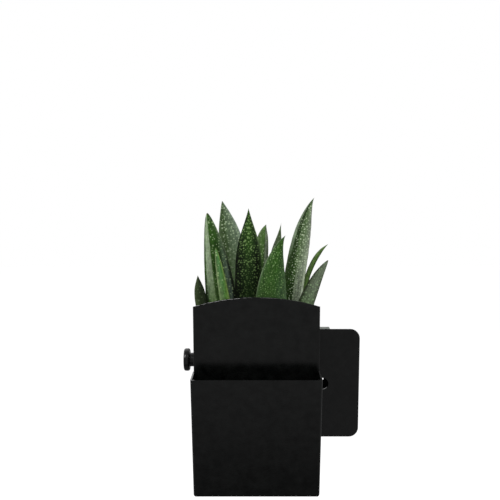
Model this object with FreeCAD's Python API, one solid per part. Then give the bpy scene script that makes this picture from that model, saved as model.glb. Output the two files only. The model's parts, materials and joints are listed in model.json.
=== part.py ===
import FreeCAD, Part
import math
import os
from FreeCAD import Vector

# Wall planter: a black sheet-steel box with a wedge pocket on its front, hung by two hooks on a wall
# plate and locked there by a thumb screw. A nursery pot with a succulent stands in the box.
#
# Frame: +X to the right, +Y into the wall, +Z up, millimetres. The origin is on the wall, midway
# between the two wall-screw holes.

os.makedirs("parts", exist_ok=True)

# ---- Wall bracket and wall plate -------------------------------------------------------------
bracket_width = 76.0
bracket_height = 97.0
bracket_depth = 20.0  # wall to the back of the plate
bracket_sheet = 1.5
bracket_lip = 8.0  # front lips that carry the plate
bracket_bend = 1.4
wall_hole_spacing = 62.0
wall_hole_radius = 2.6

plate_width = 128.0
plate_height = 100.0
plate_sheet = 2.0
plate_corner = 8.5
plate_edge_round = 0.5
access_hole_radius = 5.3  # lets a screwdriver through to the wall screws

# ---- Planter box -----------------------------------------------------------------------------
sheet = 1.2
box_width = 100.0
box_depth = 84.0  # front face to rear face of the back panel
panel_height = 152.0  # bottom to the shoulders of the front panel
arch_rise = 7.5
rim_height = 122.0  # side and rear walls
box_bottom_z = -68.0
box_gap = 2.0  # plate's front to the back panel's rear face
back_flange = 10.0
edge_round = 0.4

# ---- Front pocket ----------------------------------------------------------------------------
pocket_overhang = 0.5  # the pocket stands this far out past each side of the box
pocket_height = 100.0
pocket_top_depth = 29.0
pocket_bottom_depth = 11.5
pocket_fold = 2.0  # outside radius of the folds along the front's sides and bottom corners
pocket_flange = 9.0
pocket_flange_drop = 12.0  # rim to the top of the flanges

# ---- Rivets ----------------------------------------------------------------------------------
rivet_shank_radius = 1.6
rivet_head_radius = 3.2
rivet_head_height = 1.1
rivet_dome = 0.88
rivet_tail_radius = 2.4
rivet_tail_height = 1.6
rivet_clearance = 0.05
plate_rivet_spacing = 36.0
pocket_rivet_low = 22.0
pocket_rivet_drop = 14.0  # top of the flanges to the upper rivets

# ---- Hooks and pads --------------------------------------------------------------------------
hook_spacing = 44.0
hook_width = 14.0
hook_sheet = 1.6
hook_leaf_height = 24.0
hook_lip_drop = 8.0  # lip below the slot's lower edge
hook_clearance = 0.3
slot_floor_z = 24.0
slot_side_clearance = 1.0
pad_radius = 6.0
pad_from_ear = 9.5  # plate's left end to the left pad's middle
pad_from_rivet = 15.5  # left rivets to the right pad's middle
pad_z = -40.0

# ---- Knob lock -------------------------------------------------------------------------------
knob_z = 20.0
knob_wall_gap = 1.2
tab_height = 30.0
tab_corner = 6.0
tab_wall_gap = 1.5
ear_height = 32.0
ear_wall_gap = 5.0
nut_radius = 3.5
nut_flange_radius = 5.0
nut_flange_sheet = 0.9
nut_length = 6.0
stud_radius = 2.45
stud_clearance = 0.05
stud_in_knob = 11.5
stud_in_pad = 2.0
pressure_pad_radius = 4.8
pressure_pad_length = 4.2
pad_to_ear = 0.3
foot_travel = 2.4  # three turns of the thumb screw
foot_clearance = 0.4  # pad to nut with the screw backed off
hub_gap = 0.6
hub_radius = 6.3
hub_length = 9.4
knob_radius = 10.3
knob_thickness = 5.5
knob_rim_round = 1.8

# ---- Pot, tray and planting ------------------------------------------------------------------
pot_side_clearance = 2.0  # pot's rim to the back panel's flanges
pot_front_clearance = 2.6  # pot's rim to the rivets' tails
pot_taper = (16.0, 14.0)
pot_top_corner = 11.0
pot_bottom_corner = 8.0
pot_wall = 1.2
pot_drop = 6.4  # box's rim to the pot's rim
pot_rim_height = 5.0
pot_rim_out = 1.6
pot_lift_gap = 0.2
drain_hole_radius = 3.0
drain_hole_offset = (20.0, 14.0)
tray_clearance = 1.0
tray_wall = 1.2
tray_height = 8.0
tray_corner = 6.0
soil_clearance = 0.15
soil_drop = 9.8  # pot's rim to the top of the soil
grit_height = 3.0
crown_height = 4.0
crown_left = (-23.0, 2.0, 17.0)  # across and in from the pot's middle, radius
crown_right = (19.0, 0.0, 22.0)

# Leaf section and outline
leaf_stations = (0.0, 0.12, 0.26, 0.42, 0.58, 0.72, 0.84, 0.93, 0.98)
leaf_root_share = 0.25  # narrowed part at the root, as a share of the length
leaf_root_loss = 0.25  # width lost at the root itself
leaf_edge = 0.8
leaf_thickness = 0.26
leaf_front = 0.3
leaf_keel = 0.7

# Leaves. Across and in are from the pot's middle, and up is from the crowns' top.
# Each leaf: root (across, in), middle and tip (across, in, up), full width, the share of its length
# from the tip over which it widens, how hollow (above 1) or full (below 1) that taper is, and the
# way it faces in degrees.
leaves = {
    "leaf_01": ((-37.6, -3.0), (-45.2, -3.5, 32.5), (-48.1, -3.5, 58.2), 9.8, 0.18, 0.94, 20.0),
    "leaf_02": ((-24.5, 6.0), (-29.3, 1.0, 47.5), (-40.2, -1.0, 109.5), 30.0, 0.52, 0.63, 12.0),
    "leaf_03": ((-19.5, -11.0), (-26.0, -16.0, 42.4), (-33.0, -18.0, 83.1), 9.6, 0.40, 0.63, 0.0),
    "leaf_04": ((-16.0, 15.5), (-17.2, 20.0, 52.2), (-28.4, 20.0, 118.6), 24.0, 0.22, 0.91, -10.0),
    "leaf_05": ((-6.5, -8.0), (-5.9, -13.0, 54.2), (-6.1, -17.0, 112.1), 20.4, 0.20, 1.17, 0.0),
    "leaf_06": ((3.0, 11.0), (3.9, 17.0, 69.0), (8.2, 20.0, 99.2), 14.0, 0.33, 1.15, 0.0),
    "leaf_07": ((11.0, 17.0), (13.7, 24.0, 45.0), (21.0, 26.0, 100.4), 12.0, 0.21, 1.44, -8.0),
    "leaf_08": ((13.5, -16.0), (14.8, -22.0, 61.3), (22.7, -26.0, 92.9), 25.0, 0.55, 1.30, 0.0),
    "leaf_09": ((23.0, 2.0), (36.1, 7.0, 81.4), (47.1, 8.0, 121.0), 17.4, 0.46, 1.60, 0.0),
    "leaf_10": ((36.5, 12.0), (42.5, 14.0, 54.0), (60.1, 15.0, 83.2), 3.5, 0.15, 1.09, 15.0),
    "leaf_11": ((31.0, -8.0), (43.4, -6.0, 41.7), (58.9, -4.0, 71.2), 16.3, 0.60, 0.72, -12.0),
}

# ---- Places worked out from the sizes above --------------------------------------------------
plate_front_y = -(bracket_depth + plate_sheet)
back_y = plate_front_y - box_gap
front_y = back_y - box_depth
ear_x = -plate_width / 2
pad_left_x = ear_x - pad_to_ear - pressure_pad_length
box_left_x = pad_left_x - foot_travel - foot_clearance - nut_length - sheet
box_centre_x = box_left_x + box_width / 2
inner_width = box_width - 2 * sheet
inner_depth = box_depth - 2 * sheet
pocket_width = box_width + 2 * pocket_overhang
knob_y = -(knob_radius + knob_wall_gap)
stud_tip_x = pad_left_x + stud_in_pad
hub_right_x = box_left_x - nut_flange_sheet - hub_gap
knob_right_x = hub_right_x - hub_length
slot_height = hook_lip_drop + hook_sheet + 2 * hook_clearance
hook_bottom_z = slot_floor_z + hook_clearance
pad_thickness = box_gap - hook_clearance
floor_z = box_bottom_z + sheet
pot_bottom_z = floor_z + tray_wall + pot_lift_gap
pot_centre_y = front_y + box_depth / 2
pot_height = box_bottom_z + rim_height - pot_drop - pot_bottom_z
pot_top = (
    inner_width - 2 * (sheet + pot_side_clearance + pot_rim_out),
    inner_depth - 2 * (rivet_tail_height + pot_front_clearance + pot_rim_out),
)
soil_height = pot_height - soil_drop - pot_wall
soil_top_z = pot_bottom_z + pot_wall + soil_height
grit_top_z = soil_top_z + grit_height
crown_top_z = grit_top_z + crown_height

ACROSS = Vector(1, 0, 0)
TO_WALL = Vector(0, 1, 0)
UP = Vector(0, 0, 1)


def save(shape, node):
    """Write one sub-part, named after its node."""
    shape.exportStep("parts/" + node + ".step")


def block(low, high):
    """A box between two opposite corners."""
    size = Vector(*high) - Vector(*low)
    return Part.makeBox(size.x, size.y, size.z, Vector(*low))


def rod(radius, start, direction, length):
    """A cylinder from a start point along a direction."""
    return Part.makeCylinder(radius, length, Vector(*start), direction)


def prism(points, direction):
    """A straight-sided outline pushed along a direction."""
    outline = Part.makePolygon([Vector(*p) for p in points] + [Vector(*points[0])])
    return Part.Face(outline).extrude(direction)


def edges_along(shape, direction):
    """The edges that start out along a direction."""
    return [e for e in shape.Edges if abs(e.tangentAt(e.FirstParameter).dot(direction)) > 0.5]


def rounded_wire(size, corner, centre, z):
    """A horizontal rectangle with round corners."""
    half_x = size[0] / 2
    half_y = size[1] / 2
    flat = Part.makePlane(2 * half_x, 2 * half_y, Vector(centre[0] - half_x, centre[1] - half_y, z))
    slab = flat.extrude(UP)
    slab = slab.makeFillet(corner, edges_along(slab, UP))
    face = min(slab.Faces, key=lambda f: f.CenterOfMass.z)
    return face.OuterWire


def tapered_block(bottom, bottom_corner, top, top_corner, centre, low_z, high_z):
    """A round-cornered block that widens upwards."""
    low = rounded_wire(bottom, bottom_corner, centre, low_z)
    high = rounded_wire(top, top_corner, centre, high_z)
    return Part.makeLoft([low, high], True, True)


def rivet(x, front, back, z):
    """A blind rivet along Y: its domed head on the front face, its tail on the back face."""
    grip = back - front
    shank = rod(rivet_shank_radius, (x, front, z), TO_WALL, grip)
    head = rod(rivet_head_radius, (x, front - rivet_head_height, z), TO_WALL, rivet_head_height)
    rim = [e for e in head.Edges if abs(e.CenterOfMass.y - (front - rivet_head_height)) < 0.01]
    head = head.makeFillet(rivet_dome, rim)
    tail = rod(rivet_tail_radius, (x, back, z), TO_WALL, rivet_tail_height)
    return shank.fuse([head, tail]).removeSplitter()


def rivet_hole(x, front, back, z):
    """The hole that a rivet's shank goes through."""
    return rod(rivet_shank_radius + rivet_clearance, (x, front - 1, z), TO_WALL, back - front + 2)


# ---- Wall side -------------------------------------------------------------------------------
def plate_rivet_places():
    """Across and up for each of the four rivets: on the middle of the bracket's front lips."""
    across = plate_rivet_spacing / 2
    lip_middle = (bracket_height - bracket_lip) / 2
    return [(x, z) for x in (-across, across) for z in (-lip_middle, lip_middle)]


def make_wall_bracket():
    """A channel with its web on the wall and two front lips."""
    half_x = bracket_width / 2
    half_z = bracket_height / 2
    outer = block((-half_x, -bracket_depth, -half_z), (half_x, 0, half_z))
    outer = outer.makeFillet(bracket_bend, edges_along(outer, ACROSS))
    inside = block(
        (-half_x - 1, -bracket_depth + bracket_sheet, -half_z + bracket_sheet),
        (half_x + 1, -bracket_sheet, half_z - bracket_sheet),
    )
    mouth_z = half_z - bracket_lip
    mouth = block((-half_x - 1, -bracket_depth - 1, -mouth_z), (half_x + 1, -bracket_sheet, mouth_z))
    channel = outer.cut([inside, mouth])
    holes = [
        rod(wall_hole_radius, (x, -bracket_sheet - 1, 0), TO_WALL, bracket_sheet + 2)
        for x in (-wall_hole_spacing / 2, wall_hole_spacing / 2)
    ]
    for x, z in plate_rivet_places():
        holes.append(rivet_hole(x, -bracket_depth, -bracket_depth + bracket_sheet, z))
    return channel.cut(holes)


def make_wall_plate():
    """The rounded plate with its hook slots, access holes and the ear that the knob presses on."""
    half_x = plate_width / 2
    half_z = plate_height / 2
    plate = block((-half_x, plate_front_y, -half_z), (half_x, -bracket_depth, half_z))
    plate = plate.makeFillet(plate_corner, edges_along(plate, TO_WALL))
    front_rim = [e for e in plate.Edges if abs(e.CenterOfMass.y - plate_front_y) < 0.01]
    plate = plate.makeFillet(plate_edge_round, front_rim)
    ear = block(
        (ear_x, plate_front_y + plate_edge_round, knob_z - ear_height / 2),
        (ear_x + plate_sheet, -ear_wall_gap, knob_z + ear_height / 2),
    )
    plate = plate.fuse(ear).removeSplitter()
    cuts = []
    for side in (-1, 1):
        access_start = (side * wall_hole_spacing / 2, plate_front_y - 1, 0)
        cuts.append(rod(access_hole_radius, access_start, TO_WALL, plate_sheet + 2))
        slot_x = box_centre_x + side * hook_spacing / 2
        slot_half = hook_width / 2 + slot_side_clearance
        cuts.append(
            block(
                (slot_x - slot_half, plate_front_y - 1, slot_floor_z),
                (slot_x + slot_half, -bracket_depth + 1, slot_floor_z + slot_height),
            )
        )
    cuts += [rivet_hole(x, plate_front_y, -bracket_depth, z) for x, z in plate_rivet_places()]
    return plate.cut(cuts)


def make_plate_rivets():
    rivets = [rivet(x, plate_front_y, -bracket_depth + bracket_sheet, z) for x, z in plate_rivet_places()]
    return Part.Compound(rivets)


# ---- Planter box -----------------------------------------------------------------------------
def front_panel():
    """The flat front with its arched top edge."""
    left = box_left_x
    right = box_left_x + box_width
    shoulder_z = box_bottom_z + panel_height
    bottom_left = Vector(left, front_y, box_bottom_z)
    bottom_right = Vector(right, front_y, box_bottom_z)
    top_right = Vector(right, front_y, shoulder_z)
    top_left = Vector(left, front_y, shoulder_z)
    top = Vector(box_centre_x, front_y, shoulder_z + arch_rise)
    outline = Part.Wire(
        [
            Part.LineSegment(bottom_left, bottom_right).toShape(),
            Part.LineSegment(bottom_right, top_right).toShape(),
            Part.Arc(top_right, top, top_left).toShape(),
            Part.LineSegment(top_left, bottom_left).toShape(),
        ]
    )
    panel = Part.Face(outline).extrude(Vector(0, sheet, 0))
    front_edges = [e for e in panel.Edges if abs(e.CenterOfMass.y - front_y) < 0.01]
    return panel.makeFillet(edge_round, [e for e in front_edges if e.CenterOfMass.z > floor_z])


def pocket_rivet_places():
    """Across and up for each of the four rivets: on the middle of the pocket's flanges."""
    reach = pocket_width / 2 - sheet - pocket_flange / 2
    low_z = box_bottom_z + pocket_rivet_low
    high_z = box_bottom_z + pocket_height - pocket_flange_drop - pocket_rivet_drop
    return [(box_centre_x + side * reach, z) for side in (-1, 1) for z in (low_z, high_z)]


def make_box_shell():
    """Front panel, two sides and floor, with the rear tab on the left side that carries the lock."""
    rim_z = box_bottom_z + rim_height
    left = block((box_left_x, front_y + sheet, box_bottom_z), (box_left_x + sheet, back_y, rim_z))
    right_x = box_left_x + box_width
    right = block((right_x - sheet, front_y + sheet, box_bottom_z), (right_x, back_y, rim_z))
    floor = block((box_left_x, front_y + sheet, box_bottom_z), (right_x, back_y, floor_z))
    tab_low = (box_left_x, back_y, knob_z - tab_height / 2)
    tab_high = (box_left_x + sheet, -tab_wall_gap, knob_z + tab_height / 2)
    tab = block(tab_low, tab_high)
    tab_ends = [e for e in edges_along(tab, ACROSS) if e.CenterOfMass.y > -tab_wall_gap - 0.01]
    tab = tab.makeFillet(tab_corner, tab_ends)
    shell = front_panel().fuse([left, right, floor, tab]).removeSplitter()
    cuts = [rivet_hole(x, front_y, front_y + sheet, z) for x, z in pocket_rivet_places()]
    cuts.append(rod(nut_radius, (box_left_x - 1, knob_y, knob_z), ACROSS, sheet + 2))
    return shell.cut(cuts)


def make_back_panel():
    """The rear wall, with a flange along each side wall."""
    left = box_left_x + sheet
    right = left + inner_width
    rim_z = box_bottom_z + rim_height
    wall = block((left, back_y - sheet, floor_z), (right, back_y, rim_z))
    flange_front = back_y - sheet - back_flange
    left_flange = block((left, flange_front, floor_z), (left + sheet, back_y, rim_z))
    right_flange = block((right - sheet, flange_front, floor_z), (right, back_y, rim_z))
    return wall.fuse([left_flange, right_flange]).removeSplitter()


def make_hang_hooks():
    """Two bent hooks: a leaf on the back panel, an arm through the plate's slot and a lip behind it."""
    arm_top = hook_bottom_z + hook_sheet
    lip_y = -bracket_depth + hook_clearance
    hooks = []
    for side in (-1, 1):
        left = box_centre_x + side * hook_spacing / 2 - hook_width / 2
        right = left + hook_width
        leaf = block((left, back_y, arm_top - hook_leaf_height), (right, back_y + hook_sheet, arm_top))
        arm = block((left, back_y, hook_bottom_z), (right, lip_y + hook_sheet, arm_top))
        lip = block((left, lip_y, slot_floor_z - hook_lip_drop), (right, lip_y + hook_sheet, arm_top))
        hooks.append(leaf.fuse([arm, lip]).removeSplitter())
    return Part.Compound(hooks)


def make_rear_pads():
    """Two rubber discs that rest on the plate, clear of its rivets."""
    places = (ear_x + pad_from_ear, pad_from_rivet - plate_rivet_spacing / 2)
    return Part.Compound([rod(pad_radius, (x, back_y, pad_z), TO_WALL, pad_thickness) for x in places])


# ---- Front pocket ----------------------------------------------------------------------------
def wedge(width, bottom_depth, top_depth, low_z, high_z, back):
    """A prism across X whose front leans: deep at the top, shallow at the bottom."""
    left = box_centre_x - width / 2
    outline = [
        (left, back, low_z),
        (left, front_y - bottom_depth, low_z),
        (left, front_y - top_depth, high_z),
        (left, back, high_z),
    ]
    return prism(outline, Vector(width, 0, 0))


def lean_at(up):
    """The pocket's outer depth at a height above its bottom."""
    return pocket_bottom_depth + (pocket_top_depth - pocket_bottom_depth) * up / pocket_height


def make_front_pocket():
    """A folded pocket, open at the top and towards the box, with two flanges on the box's front."""
    top_z = box_bottom_z + pocket_height
    outer = wedge(pocket_width, pocket_bottom_depth, pocket_top_depth, box_bottom_z, top_z, front_y)
    half = pocket_width / 2
    side_edges = [e for e in outer.Edges if abs(e.tangentAt(e.FirstParameter).x) < 0.5]
    front_folds = [e for e in side_edges if all(v.Point.y < front_y - 1 for v in e.Vertexes)]
    bottom_folds = [e for e in side_edges if all(v.Point.z < floor_z for v in e.Vertexes)]
    outer = outer.makeFillet(pocket_fold, front_folds + bottom_folds)
    slope = math.hypot(1, (pocket_top_depth - pocket_bottom_depth) / pocket_height)
    inner = wedge(
        pocket_width - 2 * sheet,
        lean_at(sheet) - sheet * slope,
        lean_at(pocket_height + 1) - sheet * slope,
        box_bottom_z + sheet,
        top_z + 1,
        front_y + 1,
    )
    pocket = outer.cut(inner)
    flange_top = top_z - pocket_flange_drop
    left = box_centre_x - half + sheet
    right = box_centre_x + half - sheet
    flange_y = front_y - sheet
    left_flange = block((left - sheet / 2, flange_y, floor_z), (left + pocket_flange, front_y, flange_top))
    right_flange = block((right - pocket_flange, flange_y, floor_z), (right + sheet / 2, front_y, flange_top))
    pocket = pocket.fuse([left_flange, right_flange]).removeSplitter()
    holes = [rivet_hole(x, front_y - sheet, front_y, z) for x, z in pocket_rivet_places()]
    return pocket.cut(holes)


def make_pocket_rivets():
    rivets = [rivet(x, front_y - sheet, front_y + sheet, z) for x, z in pocket_rivet_places()]
    return Part.Compound(rivets)


# ---- Knob lock -------------------------------------------------------------------------------
def lock_rod(radius, start_x, length):
    """A cylinder on the lock's axis."""
    return rod(radius, (start_x, knob_y, knob_z), ACROSS, length)


def make_rivet_nut():
    body = lock_rod(nut_radius, box_left_x, sheet + nut_length)
    flange = lock_rod(nut_flange_radius, box_left_x - nut_flange_sheet, nut_flange_sheet)
    bore = lock_rod(stud_radius + stud_clearance, box_left_x - nut_flange_sheet - 1, nut_length + sheet + 3)
    return body.fuse(flange).removeSplitter().cut(bore)


def make_knob_stud():
    start = hub_right_x - stud_in_knob
    return lock_rod(stud_radius, start, stud_tip_x - start)


def make_pressure_pad():
    body = lock_rod(pressure_pad_radius, pad_left_x, pressure_pad_length)
    socket = lock_rod(stud_radius + stud_clearance, pad_left_x - 1, stud_in_pad + 1 + stud_clearance)
    return body.cut(socket)


def make_lock_knob():
    """A mushroom knob: a thick hub and a disc with round rims."""
    disc = lock_rod(knob_radius, knob_right_x - knob_thickness, knob_thickness)
    rims = [e for e in disc.Edges if e.Closed]
    disc = disc.makeFillet(knob_rim_round, rims)
    hub = lock_rod(hub_radius, knob_right_x, hub_length)
    seat = lock_rod(stud_radius, hub_right_x - stud_in_knob, stud_in_knob + 1)
    return disc.fuse(hub).removeSplitter().cut(seat)


# ---- Pot, tray and planting ------------------------------------------------------------------
def make_drip_tray():
    across = inner_width - 2 * (sheet + tray_clearance)
    inward = inner_depth - 2 * (rivet_tail_height + tray_clearance)
    size = (across, inward)
    centre = (box_centre_x, pot_centre_y)
    outer = Part.Face(rounded_wire(size, tray_corner, centre, floor_z)).extrude(Vector(0, 0, tray_height))
    inner_size = (across - 2 * tray_wall, inward - 2 * tray_wall)
    inner_wire = rounded_wire(inner_size, tray_corner - tray_wall, centre, floor_z + tray_wall)
    return outer.cut(Part.Face(inner_wire).extrude(Vector(0, 0, tray_height)))


def pot_size_at(up):
    """The pot's outer length and width at a height above its bottom."""
    share = up / pot_height
    return tuple(top - taper * (1 - share) for top, taper in zip(pot_top, pot_taper))


def pot_corner_at(up):
    return pot_bottom_corner + (pot_top_corner - pot_bottom_corner) * up / pot_height


def pot_slice(low_up, high_up, inset):
    """The pot's tapered outline between two heights, drawn in all round."""
    low = [side - 2 * inset for side in pot_size_at(low_up)]
    high = [side - 2 * inset for side in pot_size_at(high_up)]
    return tapered_block(
        low,
        pot_corner_at(low_up) - inset,
        high,
        pot_corner_at(high_up) - inset,
        (box_centre_x, pot_centre_y),
        pot_bottom_z + low_up,
        pot_bottom_z + high_up,
    )


def make_nursery_pot():
    outside = pot_slice(0, pot_height, 0)
    rim = pot_slice(pot_height - pot_rim_height, pot_height, -pot_rim_out)
    inside = pot_slice(pot_wall, pot_height + 1, pot_wall)
    drains = []
    for x in (-1, 1):
        for y in (-1, 1):
            across = box_centre_x + x * drain_hole_offset[0]
            inward = pot_centre_y + y * drain_hole_offset[1]
            drains.append(rod(drain_hole_radius, (across, inward, pot_bottom_z - 1), UP, pot_wall + 2))
    return outside.fuse(rim).removeSplitter().cut([inside] + drains)


def make_filling(low_up, height):
    """A layer that fills the pot from a height above its bottom."""
    return pot_slice(low_up, low_up + height, pot_wall + soil_clearance)


def make_crown(crown):
    across, inward, radius = crown
    return rod(radius, (box_centre_x + across, pot_centre_y + inward, grit_top_z), UP, crown_height)


def leaf_width(share, taper_share, taper_power):
    """Width at a share of the leaf's length, as a share of its full width: the taper levels off
    smoothly at the full width, and the root is narrower again."""
    taper = ((1 - share) / taper_share) ** taper_power
    root = max(0, 1 - share / leaf_root_share) ** 2
    return taper / (1 + taper**4) ** 0.25 * (1 - leaf_root_loss * root)


def spine_point(low, middle, high, share):
    """A point on the parabola through three points."""
    at_low = (1 - share) * (1 - 2 * share)
    at_middle = 4 * share * (1 - share)
    at_high = share * (2 * share - 1)
    return low * at_low + middle * at_middle + high * at_high


def spine_direction(low, middle, high, share):
    """The parabola's direction at the same point."""
    slope = low * (4 * share - 3) + middle * (4 - 8 * share) + high * (4 * share - 1)
    return slope.normalize()


def leaf_ring(point, along, level, half):
    """The four corners of a leaf's section: two edges, a shallow front and a deeper keel."""
    side = (level - along * level.dot(along)).normalize()
    front = side.cross(along)
    thick = leaf_edge + leaf_thickness * 2 * half
    return [
        point - side * half,
        point + front * (leaf_front * thick),
        point + side * half,
        point - front * (leaf_keel * thick),
    ]


def make_leaf(root, middle, tip, width, taper_share, taper_power, facing):
    """A keeled leaf of flat facets on a spine through its root, middle and tip."""
    to_frame = Vector(box_centre_x, pot_centre_y, crown_top_z)
    low = Vector(*root, 0) + to_frame
    mid = Vector(*middle) + to_frame
    high = Vector(*tip) + to_frame
    level = Vector(math.cos(math.radians(facing)), math.sin(math.radians(facing)), 0)
    rings = []
    for share in leaf_stations:
        # The root ring lies flat on the crown.
        along = spine_direction(low, mid, high, share) if share > 0 else UP
        half = width * leaf_width(share, taper_share, taper_power) / 2
        rings.append(leaf_ring(spine_point(low, mid, high, share), along, level, half))
    corners = [list(reversed(rings[0]))]
    for lower, upper in zip(rings, rings[1:]):
        for i in range(4):
            j = (i + 1) % 4
            corners.append([lower[i], lower[j], upper[j]])
            corners.append([lower[i], upper[j], upper[i]])
    corners += [[rings[-1][i], rings[-1][(i + 1) % 4], high] for i in range(4)]
    faces = [Part.Face(Part.makePolygon(points + [points[0]])) for points in corners]
    solid = Part.Solid(Part.Shell(faces))
    if solid.Volume < 0:
        solid.reverse()
    return solid


# ---- The whole object ------------------------------------------------------------------------
save(make_wall_bracket(), "wall_bracket")
save(make_wall_plate(), "wall_plate")
save(make_plate_rivets(), "plate_rivets")
save(make_box_shell(), "box_shell")
save(make_back_panel(), "back_panel")
save(make_hang_hooks(), "hang_hooks")
save(make_rear_pads(), "rear_pads")
save(make_front_pocket(), "front_pocket")
save(make_pocket_rivets(), "pocket_rivets")
save(make_rivet_nut(), "rivet_nut")
save(make_knob_stud(), "knob_stud")
save(make_pressure_pad(), "pressure_pad")
save(make_lock_knob(), "lock_knob")
save(make_drip_tray(), "drip_tray")
save(make_nursery_pot(), "nursery_pot")
save(make_filling(pot_wall, soil_height), "potting_soil")
save(make_filling(pot_wall + soil_height, grit_height), "top_grit")
save(make_crown(crown_left), "plant_crown_left")
save(make_crown(crown_right), "plant_crown_right")
for node, leaf in leaves.items():
    save(make_leaf(*leaf), node)
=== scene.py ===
# %% [markdown]
# # A wall planter, finished
# This lesson puts a skin on a model that was built in CAD: a black sheet-steel box with a wedge
# pocket, hooked on a plate that a zinc bracket holds off the wall, with a potted succulent in it.
# The sheet metal, the rivets, the knob and the pots keep their CAD shape and get a real finish.
# The soft things, leaves, soil and grit, are made again here as surfaces worked out with numpy.

# %% Load the fixed model
import json
import math

import bpy
import numpy as np
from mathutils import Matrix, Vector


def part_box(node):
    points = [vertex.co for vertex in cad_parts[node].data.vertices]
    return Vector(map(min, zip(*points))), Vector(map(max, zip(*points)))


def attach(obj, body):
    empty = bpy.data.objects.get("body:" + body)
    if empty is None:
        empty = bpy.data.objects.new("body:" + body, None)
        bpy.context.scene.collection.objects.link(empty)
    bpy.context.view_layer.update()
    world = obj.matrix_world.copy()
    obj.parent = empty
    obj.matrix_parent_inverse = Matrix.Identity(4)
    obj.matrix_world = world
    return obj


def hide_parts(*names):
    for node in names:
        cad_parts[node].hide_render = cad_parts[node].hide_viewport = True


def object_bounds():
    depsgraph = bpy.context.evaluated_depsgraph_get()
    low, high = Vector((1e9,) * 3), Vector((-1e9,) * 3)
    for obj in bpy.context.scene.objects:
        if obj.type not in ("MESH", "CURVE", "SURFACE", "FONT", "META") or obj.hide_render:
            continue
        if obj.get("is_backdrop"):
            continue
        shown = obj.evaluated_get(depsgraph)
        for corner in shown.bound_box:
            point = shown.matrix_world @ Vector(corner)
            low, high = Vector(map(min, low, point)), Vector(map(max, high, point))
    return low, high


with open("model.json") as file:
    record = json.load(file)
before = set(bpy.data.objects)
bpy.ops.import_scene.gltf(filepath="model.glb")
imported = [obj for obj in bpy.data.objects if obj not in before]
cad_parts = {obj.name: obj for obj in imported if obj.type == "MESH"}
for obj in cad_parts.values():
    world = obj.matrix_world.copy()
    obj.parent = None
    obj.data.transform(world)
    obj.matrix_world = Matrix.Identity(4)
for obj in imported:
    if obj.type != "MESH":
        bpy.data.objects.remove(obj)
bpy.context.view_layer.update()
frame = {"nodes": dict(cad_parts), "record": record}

MM = 0.001  # one millimetre in Blender's metres

# %% [markdown]
# ## Helpers
# A material is a tree of nodes, and a node written out takes several lines, so a few helpers keep the
# cells short. `feed` fills one input: a value that is another node's socket is linked, and anything
# else is typed in. The next four use it to add a node, a sum, a mix of two colours and a stretched
# range. The last two make a node group with named inputs and outputs, and place it in a material,
# so that one effect can serve many finishes.

# %% Node helpers
def feed(tree, socket, value):
    """Links another node's socket to an input, or types a plain value into it."""
    if isinstance(value, bpy.types.NodeSocket):
        tree.links.new(value, socket)
    else:
        socket.default_value = value


def add(tree, kind, sockets=None, **settings):
    """Adds a node, sets its settings, and feeds its inputs."""
    made = tree.nodes.new(kind)
    for name, value in settings.items():
        setattr(made, name, value)
    for name, value in (sockets or {}).items():
        feed(tree, made.inputs[name], value)
    return made


def math_node(tree, operation, first, second=0.0, clamp=False):
    """One sum, product or comparison of two values."""
    sockets = {0: first, 1: second}
    return add(tree, "ShaderNodeMath", sockets, operation=operation, use_clamp=clamp).outputs[0]


def mix_colour(tree, share, first, second, blend="MIX"):
    """The first colour where share is 0 and, where it is 1, the second or the blend of both."""
    sockets = {"Factor": share, "A": first, "B": second}
    made = add(tree, "ShaderNodeMix", data_type="RGBA", blend_type=blend)
    for socket in made.inputs:
        if socket.enabled and socket.name in sockets:
            feed(tree, socket, sockets[socket.name])
    return next(socket for socket in made.outputs if socket.enabled)


def remap(tree, value, low, high, to_low=0.0, to_high=1.0):
    """Stretches a range of values onto another, and stops at its ends."""
    sockets = {"Value": value, "From Min": low, "From Max": high, "To Min": to_low, "To Max": to_high}
    return add(tree, "ShaderNodeMapRange", sockets, clamp=True).outputs["Result"]


def new_group(name, inputs, outputs):
    """An empty node group with named inputs (name, kind, value) and outputs (name, kind)."""
    tree = bpy.data.node_groups.new(name, "ShaderNodeTree")
    for label, kind, value in inputs:
        socket = tree.interface.new_socket(name=label, in_out="INPUT", socket_type=kind)
        socket.default_value = value
    for label, kind in outputs:
        tree.interface.new_socket(name=label, in_out="OUTPUT", socket_type=kind)
    return tree, tree.nodes.new("NodeGroupInput"), tree.nodes.new("NodeGroupOutput")


def use(tree, group, **values):
    """Places a node group in a material; its inputs are given by name, with _ for a space."""
    made = add(tree, "ShaderNodeGroup", node_tree=group)
    for name, value in values.items():
        feed(tree, made.inputs[name.replace("_", " ")], value)
    return made.outputs


FLOAT = "NodeSocketFloat"

# %% [markdown]
# ## Shared surface effects
# Powder coat, moulded plastic and zinc all have a fine relief: a coarse swell with a finer grain on
# it. One group makes that height from two noises in Object coordinates, so it stays on the piece
# when the piece moves. A second group finds edges: the Bevel node bends the normal near an edge, so
# where the bent normal leaves the true one, the surface is close to an edge and is rubbed brighter.
# A third breaks up a value over the surface, as handling and dust do.

# %% Relief, edge rub and mottling groups
noise_low, noise_high = 0.3, 0.7  # nearly all of a noise lies between these
flat_turn, edge_turn = 0.97, 0.75  # cosine of the bent normal's turn where no rub shows, and where all does
rub_starts, rub_full = 0.38, 0.66  # the patch noise where rubbing begins and is complete

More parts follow.
